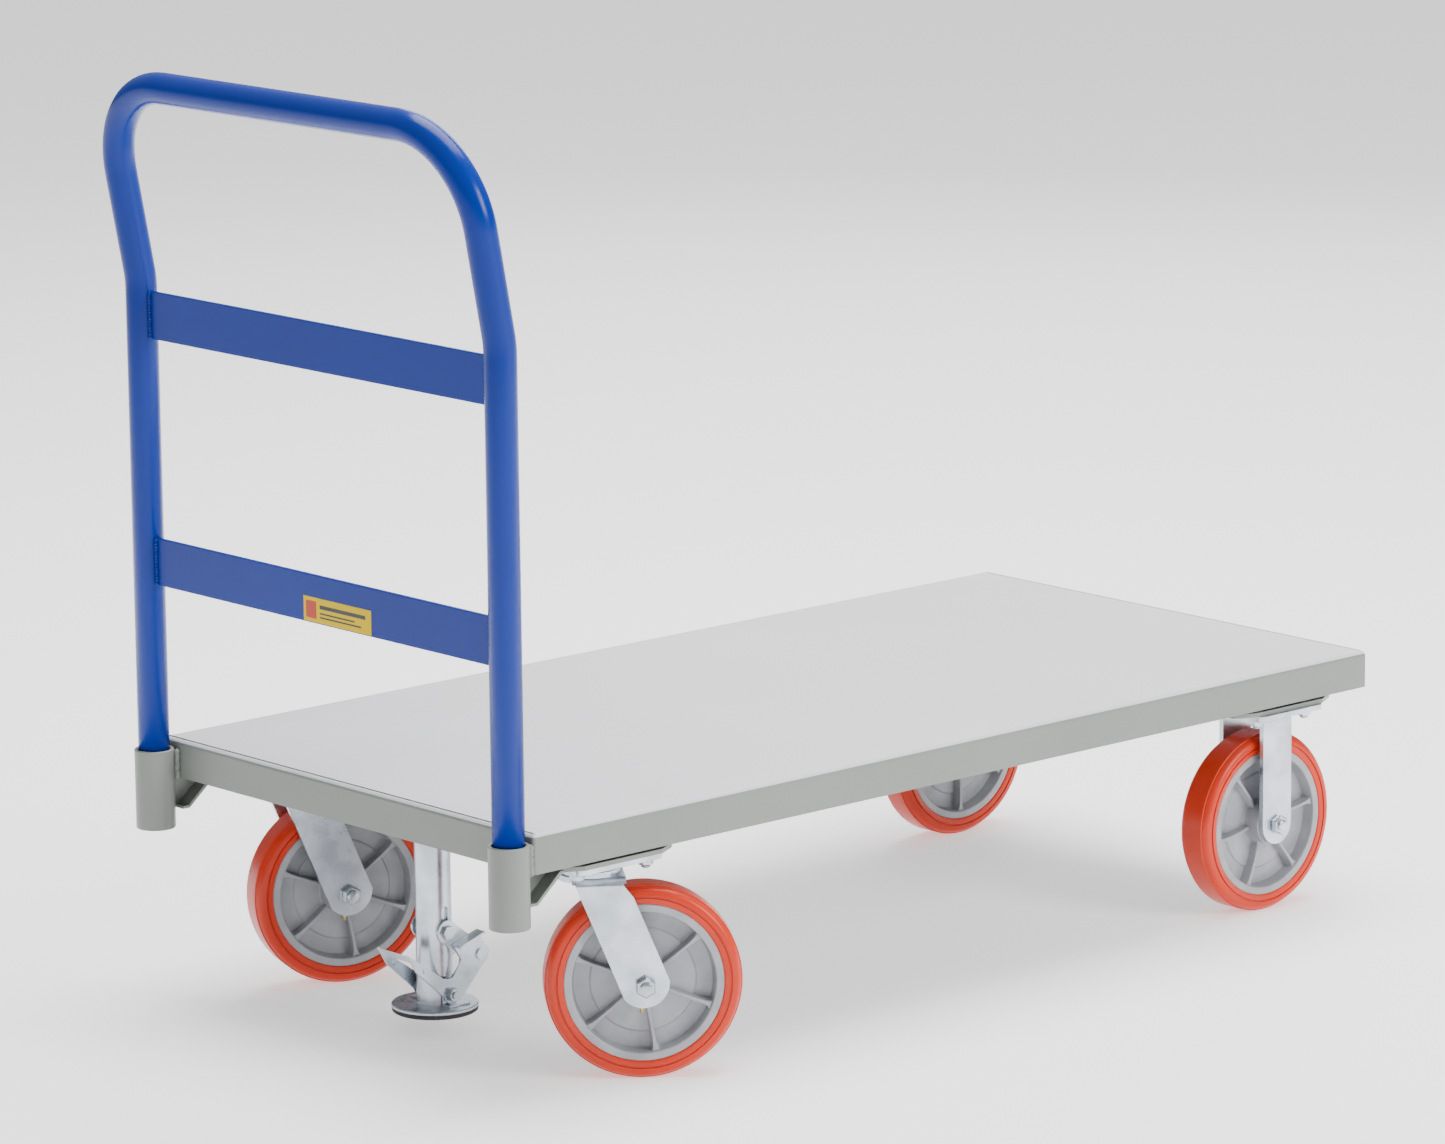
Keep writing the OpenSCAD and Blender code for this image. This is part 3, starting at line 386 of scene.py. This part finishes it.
rail_z = handle_high.z - TUBE_R
tangent = LEAN_R * math.tan(LEAN / 2)
slope = Vector((-math.sin(LEAN), 0, math.cos(LEAN)))
rail_run = (rail_z - LEAN_Z) / math.cos(LEAN)
bend_z = LEAN_Z - tangent
tube = bmesh.new()
bmesh.ops.create_circle(tube, segments=48, radius=TUBE_R)
bmesh.ops.translate(tube, vec=(post_x, -post_y, handle_low.z), verts=tube.verts)
ring = run_on(tube, tube.edges[:], (0, 0, bend_z - handle_low.z))
ring = turned_on(tube, ring, (post_x - LEAN_R, -post_y, bend_z), (0, -1, 0), LEAN, 10)
ring = run_on(tube, ring, slope * (rail_run - CORNER_R - tangent))
elbow = Vector((post_x, 0, LEAN_Z)) + slope * (rail_run - CORNER_R)
turn_axis = slope.cross(Vector((0, 1, 0)))
ring = turned_on(tube, ring, elbow + Vector((0, CORNER_R - post_y, 0)), turn_axis, math.pi / 2, 20)
ring = run_on(tube, ring, (0, 2 * (post_y - CORNER_R), 0))
ring = turned_on(tube, ring, elbow + Vector((0, post_y - CORNER_R, 0)), turn_axis, math.pi / 2, 20)
ring = run_on(tube, ring, -slope * (rail_run - CORNER_R - tangent))
ring = turned_on(tube, ring, (post_x - LEAN_R, post_y, bend_z), (0, 1, 0), LEAN, 10)
ring = run_on(tube, ring, (0, 0, handle_low.z - bend_z))
bmesh.ops.recalc_face_normals(tube, faces=tube.faces)
handle = made("handle_pipe", tube, "handle", blue_enamel, ["handle_tube"])
wall = handle.modifiers.new("wall", "SOLIDIFY")
wall.thickness = TUBE_WALL
wall.offset = -1

bars = bmesh.new()
fillets = bmesh.new()
for i, node in enumerate(("upper_crossbar", "lower_crossbar")):
    low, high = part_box(node)
    reach = post_y - TUBE_R + 0.3 * MM
    added(bars, block((low.x, -reach, low.z), (high.x, reach, high.z), BAR_EDGE), (0, 0, 0))
    for sign in (1, -1):
        for face in (low.x - 0.4 * MM, high.x + 0.4 * MM):
            foot = (face, sign * (reach - 1.2 * MM), low.z + 2.5 * MM)
            head = (face, sign * (reach - 1.2 * MM), high.z - 2.5 * MM)
            added(fillets, weld_bead(foot, head, 2.6 * MM, 10 + i), (0, 0, 0))
made("handle_crossbars", bars, "handle", blue_enamel, ["upper_crossbar", "lower_crossbar"])
made("crossbar_fillets", fillets, "handle", blue_enamel, ["crossbar_welds"], sharp=80)

# ---------------------------------------------------------------- label
# A yellow film label, stuck on the outer face of the lower crossbar, with a
# plain red patch and plain dark stripes on it.

LABEL_YELLOW = (0.74, 0.52, 0.0)
LABEL_INK = (0.02, 0.02, 0.02)
LABEL_RED = (0.5, 0.03, 0.004)
LABEL_PATCH = 17 * MM

label_low, label_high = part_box("handle_label")
film_look = {"rough": (0.35, 0.45), "grain": 300, "depth": 0.01}
label_film = coating("label_film", LABEL_YELLOW, shaded(LABEL_YELLOW, 0.95), specular=0.1, **film_look)
label_red = coating("label_red", LABEL_RED, shaded(LABEL_RED, 0.9), **film_look)
label_ink = coating("label_ink", LABEL_INK, shaded(LABEL_INK, 1.5), **film_look)
film = block(label_low, label_high, 0.15 * MM, 1)
made("label", film, "handle", label_film, ["handle_label"])
print_left, print_right = label_high.y - 4 * MM, label_low.y + 4 * MM
stripes = bmesh.new()
for share_from, share_to, row, thick in (
    (0.22, 0.95, 0.66, 0.16),
    (0.22, 0.78, 0.40, 0.07),
    (0.22, 0.88, 0.24, 0.07),
):
    y_from = print_left + (print_right - print_left) * share_from
    y_to = print_left + (print_right - print_left) * share_to
    middle = label_low.z + (label_high.z - label_low.z) * row
    half = (label_high.z - label_low.z) * thick / 2
    low = (label_low.x - 0.05 * MM, min(y_from, y_to), middle - half)
    high = (label_low.x + 0.05 * MM, max(y_from, y_to), middle + half)
    added(stripes, block(low, high), (0, 0, 0))
made("label_stripes", stripes, "handle", label_ink)
patch_low = (label_low.x - 0.05 * MM, print_left - LABEL_PATCH, label_low.z + 4 * MM)
patch = block(patch_low, (label_low.x + 0.05 * MM, print_left, label_high.z - 4 * MM))
made("label_patch", patch, "handle", label_red)

# ---------------------------------------------------------------- wheels
# Each wheel is a ribbed gray casting with an orange-red tread moulded round
# it. Loose rollers run in its hub on a steel sleeve, and a brass fitting
# takes the grease.

RIB_COUNT = 6
FITTING_TURN = math.radians(105)
RIB_TURNS = {"swivel_right": -21, "swivel_left": -21, "rigid_right": 69, "rigid_left": 30}
TREAD_RED = (0.60, 0.03, 0.007)
CAST_GRAY = (0.345, 0.35, 0.375)

tread_rubber = coating(
    "tread_rubber", shaded(TREAD_RED, 1.06), shaded(TREAD_RED, 0.9), rough=(0.24, 0.36),
    blotch=18, grain=600, depth=0.06, specular=0.3,
)
cast_metal = coating(
    "cast_metal", shaded(CAST_GRAY, 1.12), shaded(CAST_GRAY, 0.86), metal=0.25, rough=(0.42, 0.6),
    blotch=40, grain=420, depth=0.25,
)
roller_steel = coating(
    "roller_steel", (0.42, 0.43, 0.45), (0.34, 0.35, 0.37), metal=1, rough=(0.25, 0.4), grain=1500
)
brass = coating("brass", (0.62, 0.47, 0.22), (0.5, 0.37, 0.17), metal=1, rough=(0.25, 0.4), grain=1500)


def mirrored(half):
    """A closed profile from its upper half of (radius, height) points in mm."""
    whole = half + [(radius, -height) for radius, height in reversed(half)]
    return [(radius * MM, height * MM) for radius, height in whole]


TREAD_HALF = [
    (82.5, 19.4), (83.3, 20.4), (85.5, 20.9), (88.6, 21.0), (89.0, 19.5), (90.4, 19.5), (90.8, 21.0),
    (94.8, 20.7), (97.2, 19.4), (98.7, 17.4), (99.9, 15.0), (100.1, 14.1), (101.3, 13.7), (101.6, 12.7),
    (101.6, 5.0),
]
CORE_HALF = [
    (14.6, 26.6), (15.4, 27.4), (22.8, 27.4), (24.0, 26.2), (24.6, 10.5), (25.6, 8.0), (28.0, 7.0),
    (52.6, 7.0), (54.2, 6.2), (55.4, 5.1), (68.5, 5.0), (71.3, 5.8), (72.6, 8.0), (73.6, 18.6),
    (74.6, 19.8), (75.6, 20.0), (81.6, 20.0), (82.5, 19.2),
]
FITTING_OUTLINE = [
    (0, 7.6), (1.1, 7.5), (1.9, 6.6), (2.0, 5.6), (1.4, 4.6), (1.6, 3.0), (1.6, 2.6), (2.9, 2.6),
    (2.9, 0.3), (2.0, 0.3), (2.0, -3.5), (0, -3.5),
]
RIB_OUTLINE = [(22, 3.2), (40, 2.8), (58, 2.6), (67, 3.2), (71.5, 5.0), (75, 8.6)]
RIB_ROOT, RIB_CREST, RIB_DIP, RIB_DRAFT = 4, 17, 3.4, 0.62
RIB_DIP_END = 30


def cast_rib():
    """A drafted rib along X that dips towards the hub and flares into the rim."""
    bm = bmesh.new()
    rows = []
    for share, crest in ((1, False), (RIB_DRAFT, True)):
        for way in (1, -1):
            heights = [RIB_ROOT] * len(RIB_OUTLINE)
            if crest:
                heights = [RIB_CREST - (RIB_DIP if x < RIB_DIP_END else 0) for x, y in RIB_OUTLINE]
            spots = [(x * MM, way * share * y * MM, z * MM) for (x, y), z in zip(RIB_OUTLINE, heights)]
            rows.append([bm.verts.new(spot) for spot in spots])
    root_left, root_right, crest_left, crest_right = rows
    around = [root_left, crest_left, crest_right, root_right, root_left]
    for a, b in zip(around, around[1:]):
        for i in range(len(a) - 1):
            bm.faces.new((a[i], a[i + 1], b[i + 1], b[i]))
    for end in (0, -1):
        bm.faces.new((root_left[end], crest_left[end], crest_right[end], root_right[end]))
    bmesh.ops.recalc_face_normals(bm, faces=bm.faces)
    crests = []
    for row in (crest_left, crest_right):
        for a, b in zip(row, row[1:]):
            crests += [e for e in a.link_edges if b in e.verts]
    bmesh.ops.bevel(bm, geom=crests, offset=0.9 * MM, segments=3, profile=0.5, affect="EDGES", material=-1)
    return bm


def wheel_place(joint_name, turn=0.0):
    """Where a wheel's own frame lies: its axle along Z, its rolling direction along X."""
    joint = joints[joint_name]
    axle = Vector(joint["axis"]).normalized()
    heading = Vector((0, 0, 1)).cross(axle) * -1
    rise = axle.cross(heading)
    turned_by = Matrix((heading, rise, axle)).transposed().to_4x4()
    return Matrix.Translation(joint["pos_m"]) @ turned_by @ Matrix.Rotation(math.radians(turn), 4, "Z")


for spot, turn in RIB_TURNS.items():
    body = "wheel_" + spot
    place = wheel_place(spot + "_roll", turn)

    tread = added(bmesh.new(), turned(mirrored(TREAD_HALF), 128, closed=True), place)
    made("tread_" + spot + "_moulded", tread, body, tread_rubber, ["tread_" + spot], sharp=28)

    core = added(bmesh.new(), turned(mirrored(CORE_HALF), 96, closed=True), place)
    for i in range(RIB_COUNT):
        for face in (1, -1):
            rib = cast_rib()
            if face < 0:
                bmesh.ops.scale(rib, vec=(1, 1, -1), verts=rib.verts)
                bmesh.ops.reverse_faces(rib, faces=rib.faces)
            added(core, rib, place @ Matrix.Rotation(2 * math.pi * i / RIB_COUNT, 4, "Z"))
    made("core_" + spot + "_cast", core, body, cast_metal, ["core_" + spot], sharp=40)

    fitting = turned([(radius * MM, height * MM) for radius, height in FITTING_OUTLINE], 20)
    seat = Matrix.Rotation(FITTING_TURN, 4, "Z") @ Matrix.Translation((24 * MM, 0, 21.4 * MM))
    nipple = added(bmesh.new(), fitting, place @ seat @ Matrix.Rotation(math.pi / 2, 4, "Y"))
    made("fitting_" + spot + "_turned", nipple, body, brass, ["fitting_" + spot])

    painted(roller_steel, "bearing_" + spot)

# ---------------------------------------------------------------- caster forks
# Pressed steel, zinc plated. The swivel forks hang from a ball raceway on a
# king pin, and the rigid forks are welded to their top plates.

ZINC = (0.62, 0.67, 0.73)
FORK_EDGE = 0.7 * MM

zinc = coating(
    "zinc_plate", shaded(ZINC, 1.12), shaded(ZINC, 0.66), metal=0.92, rough=(0.2, 0.36),
    blotch=26, grain=500, depth=0.06,
)


def eased(node, width, angle=28.0):
    """A copy of a CAD node with its sharp edges rounded over."""
    bm = bmesh.new()
    bm.from_mesh(frame["nodes"][node].data)
    bmesh.ops.remove_doubles(bm, verts=bm.verts, dist=5e-6)
    bmesh.ops.dissolve_limit(bm, angle_limit=math.radians(0.6), verts=bm.verts, edges=bm.edges)
    sharp = [e for e in bm.edges if len(e.link_faces) == 2 and e.calc_face_angle(0) > math.radians(angle)]
    bmesh.ops.bevel(
        bm, geom=sharp, offset=width, segments=2, profile=0.5, affect="EDGES", material=-1,
        clamp_overlap=True,
    )
    return bm


for node, body in (
    ("swivel_fork_right", "right_swivel"),
    ("swivel_fork_left", "left_swivel"),
    ("rigid_fork_right", "truck"),
    ("rigid_fork_left", "truck"),
    ("swivel_plates", "truck"),
    ("lock_plate_top", "truck"),
):
    made(node + "_pressed", eased(node, FORK_EDGE), body, zinc, [node])

# ---------------------------------------------------------------- fasteners
# Zinc-plated hex bolts and nuts hold the casters and the floor lock to the
# bolsters, and a larger bolt with a nut is each wheel's axle.

BOLT_R = 4.75 * MM
BOLT_AF = 14.3 * MM
AXLE_R = 6.35 * MM
BOLT_HEAD = 6.3 * MM
BOLT_TIP = 3.2 * MM
AXLE_AF = 19 * MM
AXLE_HEX = 8 * MM
AXLE_TIP = 4 * MM
AXLE_END = 11 * MM
FORK_HALF = 34 * MM
SWIVEL_HOLES = (46.05 * MM, 33.35 * MM)
SQUARE_HOLES = (38.1 * MM, 38.1 * MM)
THREAD_PITCH = 1.6 * MM


def hex_block(across, height, chamfer=0.08):
    """A hexagon bar end of the given width over its flats, with its corners turned off at both faces."""
    corner_r = across / 2 / math.cos(math.pi / 6)
    bm = bmesh.new()
    bmesh.ops.create_cone(
        bm, segments=6, radius1=corner_r, radius2=corner_r, depth=height, cap_ends=True, cap_tris=False
    )
    bmesh.ops.translate(bm, vec=(0, 0, height / 2), verts=bm.verts)
    caps = [f for f in bm.faces if abs(f.normal.z) > 0.9]
    bmesh.ops.inset_individual(bm, faces=caps, thickness=across * chamfer, depth=0)
    for face in [f for f in bm.faces if len(f.verts) == 4 and abs(f.normal.z) > 0.9]:
        for vert in face.verts:
            if math.hypot(vert.co.x, vert.co.y) > corner_r * 0.98:
                vert.co.z += math.copysign(across * chamfer * 0.5, height / 2 - vert.co.z)
    edges = [e for e in bm.edges if abs(e.verts[0].co.z - e.verts[1].co.z) > height / 2]
    bmesh.ops.bevel(
        bm, geom=edges, offset=across * 0.03, segments=2, profile=0.5, affect="EDGES", material=-1
    )
    return bm


def threaded(radius, length):
    """A thread's end, as rings that rise and fall along it."""
    turns = int(length / THREAD_PITCH)
    profile = [(0, 0), (radius * 0.8, 0)]
    for i in range(turns):
        profile += [
            (radius, (i + 0.45) * THREAD_PITCH),
            (radius, (i + 0.6) * THREAD_PITCH),
            (radius * 0.88, (i + 1) * THREAD_PITCH),
        ]
    return turned(profile + [(radius * 0.88, length)], 24)


for joint_name, body, sleeve, nodes in (
    ("swivel_right_roll", "right_swivel", "axle_sleeve_right", ["swivel_axle_right"]),
    ("swivel_left_roll", "left_swivel", "axle_sleeve_left", ["swivel_axle_left"]),
    ("rigid_right_roll", "truck", "rigid_axle_sleeves", ["rigid_axles"]),
    ("rigid_left_roll", "truck", None, []),
):
    place = wheel_place(joint_name)
    axle = bmesh.new()
    reach = FORK_HALF + 1 * MM
    shank = turned([(0, -reach), (AXLE_R, -reach), (AXLE_R, reach), (0, reach)], 32)
    head = place @ Matrix.Rotation(math.pi, 4, "X")
    added(axle, shank, place)
    added(axle, hex_block(AXLE_AF, AXLE_HEX), head @ Matrix.Translation((0, 0, FORK_HALF)))
    added(axle, hex_block(AXLE_AF, AXLE_HEX), place @ Matrix.Translation((0, 0, FORK_HALF)))
    tip = place @ Matrix.Translation((0, 0, FORK_HALF + AXLE_END)) @ Matrix.Rotation(math.pi, 4, "X")
    added(axle, threaded(AXLE_R, AXLE_TIP), tip)
    made("axle_" + joint_name, axle, body, zinc, nodes)
    if sleeve:
        painted(roller_steel, sleeve)

bolt_low, bolt_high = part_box("mounting_bolts")
nut_low, nut_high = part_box("mounting_nuts")
plate_low, plate_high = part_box("lock_plate_top")
swivel_spots = [Vector(joints[name]["pos_m"]) for name in ("right_swivel", "left_swivel")]
rigid_spots = [Vector(joints[name]["pos_m"]) for name in ("rigid_right_roll", "rigid_left_roll")]
lock_spot = (plate_low + plate_high) / 2
bolt_spots = [(spot, *SWIVEL_HOLES) for spot in swivel_spots]
bolt_spots += [(spot, *SQUARE_HOLES) for spot in rigid_spots + [lock_spot]]
shank_top = bolt_high.z - 1 * MM

bolts = bmesh.new()
nuts = bmesh.new()
for spot, dx, dy in bolt_spots:
    for sx in (1, -1):
        for sy in (1, -1):
            x, y = spot.x + sx * dx, spot.y + sy * dy
            added(nuts, hex_block(BOLT_AF, nut_high.z - nut_low.z - 0.1 * MM), (x, y, nut_low.z))
            added(bolts, threaded(BOLT_R, BOLT_TIP), (x, y, bolt_low.z))
            shank = turned([(0, nut_low.z), (BOLT_R, nut_low.z), (BOLT_R, shank_top), (0, shank_top)], 24)
            added(bolts, shank, (x, y, 0))
            added(bolts, hex_block(BOLT_AF, BOLT_HEAD), (x, y, bolt_high.z - 6.4 * MM))
made("bolts_zinc", bolts, "truck", zinc, ["mounting_bolts"])
made("nuts_zinc", nuts, "truck", zinc, ["mounting_nuts"])

painted(zinc, "king_pins", "king_nuts")
painted(roller_steel, "swivel_balls")

# ---------------------------------------------------------------- floor lock
# A sleeve slides on a post under the bolster. Stepping on the pedal swings it
# over centre against the link and pushes the round foot down on the floor,
# and a spring in the post pulls it up again.

LOCK_EDGE = 0.5 * MM
PAD_BLACK = (0.025, 0.025, 0.027)

pad_rubber = coating(
    "pad_rubber", shaded(PAD_BLACK, 1.3), PAD_BLACK, rough=(0.6, 0.75), blotch=30, grain=500, depth=0.2
)
spring_steel = coating(
    "spring_steel", (0.3, 0.3, 0.32), (0.22, 0.22, 0.24), metal=1, rough=(0.3, 0.45), grain=1500
)

for node, body in (
    ("lock_sleeve", "lock_foot"),
    ("lock_lugs", "lock_foot"),
    ("lock_pedal", "lock_pedal"),
    ("lock_link", "lock_link"),
):
    made(node + "_pressed", eased(node, LOCK_EDGE), body, zinc, [node])
painted(zinc, "lock_post", "lock_studs", "lock_rivets", "lock_pivots", "lock_pivot_nuts")
painted(spring_steel, "lock_spring", "lock_spring_pin")

foot_low, foot_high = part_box("lock_foot")
pad_low, pad_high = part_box("lock_pad")
foot_r = (foot_high.x - foot_low.x) / 2
centre = ((foot_low.x + foot_high.x) / 2, 0, 0)
foot_plate = turned(
    [
        (0, foot_low.z),
        (foot_r - 1 * MM, foot_low.z),
        (foot_r, foot_low.z + 1 * MM),
        (foot_r, foot_low.z + 3 * MM),
        (foot_r - 1 * MM, foot_low.z + 4 * MM),
        (3 * MM, foot_low.z + 4 * MM),
        (3 * MM, foot_high.z),
        (0, foot_high.z),
    ],
    72,
)
made("lock_foot_plate", added(bmesh.new(), foot_plate, centre), "lock_foot", zinc, ["lock_foot"])
pad = turned(
    [
        (0, pad_low.z),
        (foot_r - 2 * MM, pad_low.z),
        (foot_r - 0.6 * MM, pad_low.z + 1 * MM),
        (foot_r - 0.3 * MM, pad_low.z + 2.4 * MM),
        (foot_r - 1 * MM, pad_high.z),
        (0, pad_high.z),
    ],
    72,
)
made("lock_foot_rubber", added(bmesh.new(), pad, centre), "lock_foot", pad_rubber, ["lock_pad"])
